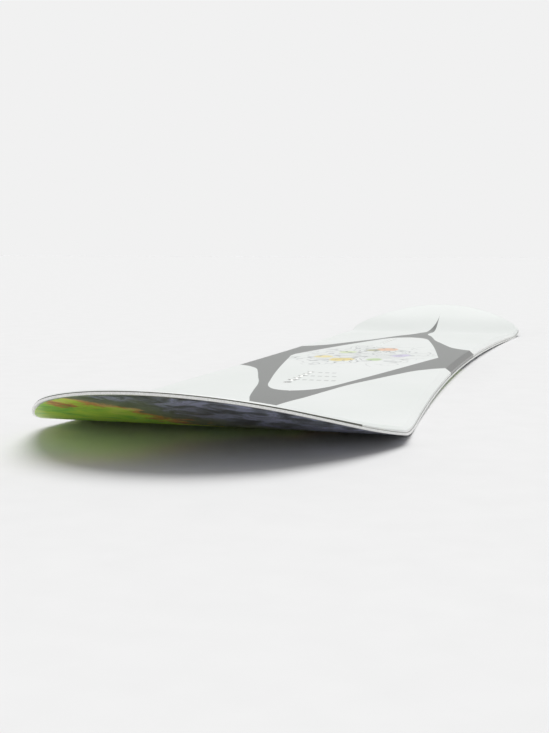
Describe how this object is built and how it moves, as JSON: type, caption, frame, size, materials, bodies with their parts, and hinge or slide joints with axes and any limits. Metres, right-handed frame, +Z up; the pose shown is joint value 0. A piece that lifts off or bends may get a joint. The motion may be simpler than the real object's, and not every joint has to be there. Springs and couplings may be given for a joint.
{
  "type": "snowboard",
  "caption": "Bare snowboard with rounded nose and tail, light camber, steel edges, layered wood core and M6 binding inserts under both feet.",
  "frame": {"origin": "on the ground plane at mid length and mid width", "axes": "+Y from nose to tail, +X across to the right of someone looking from nose to tail, +Z up, away from the running face"},
  "size_m": [0.307, 1.52, 0.0566],
  "materials": {
    "base": "sintered polyethylene, stone ground and waxed, printed in lime green, rust orange, dark green and slate blue",
    "edge_steel": "hardened steel bar, ground and polished along its length",
    "foil": "thin damping rubber",
    "laminate": "glass fibre in epoxy, olive and translucent",
    "sidewall": "white ABS, a low upright wall whose sloping shoulder runs in under the top sheet",
    "spacer": "ABS filler",
    "light_wood": "poplar, planed",
    "dense_wood": "beech, planed",
    "mat": "woven glass mat in epoxy",
    "insert_steel": "stainless, turned",
    "top_sheet": "polyamide film, glossy white with a grey mirrored web figure and a small line drawing"
  },
  "bodies": {
    "root": {"base_sheet": "base", "edge_foil_left": "foil", "edge_foil_right": "foil", "front_insert_mat": "mat", "front_inserts": "insert_steel", "lower_laminate": "laminate", "nose_spacer": "spacer", "rear_insert_mat": "mat", "rear_inserts": "insert_steel", "sidewall_left": "sidewall", "sidewall_right": "sidewall", "steel_edge_left": "edge_steel", "steel_edge_right": "edge_steel", "tail_spacer": "spacer", "top_sheet": "top_sheet", "upper_laminate": "laminate", "wood_stringer_1": "light_wood", "wood_stringer_10": "dense_wood", "wood_stringer_11": "light_wood", "wood_stringer_2": "dense_wood", "wood_stringer_3": "light_wood", "wood_stringer_4": "dense_wood", "wood_stringer_5": "light_wood", "wood_stringer_6": "dense_wood", "wood_stringer_7": "light_wood", "wood_stringer_8": "dense_wood", "wood_stringer_9": "light_wood"}
  },
  "joints": []
}
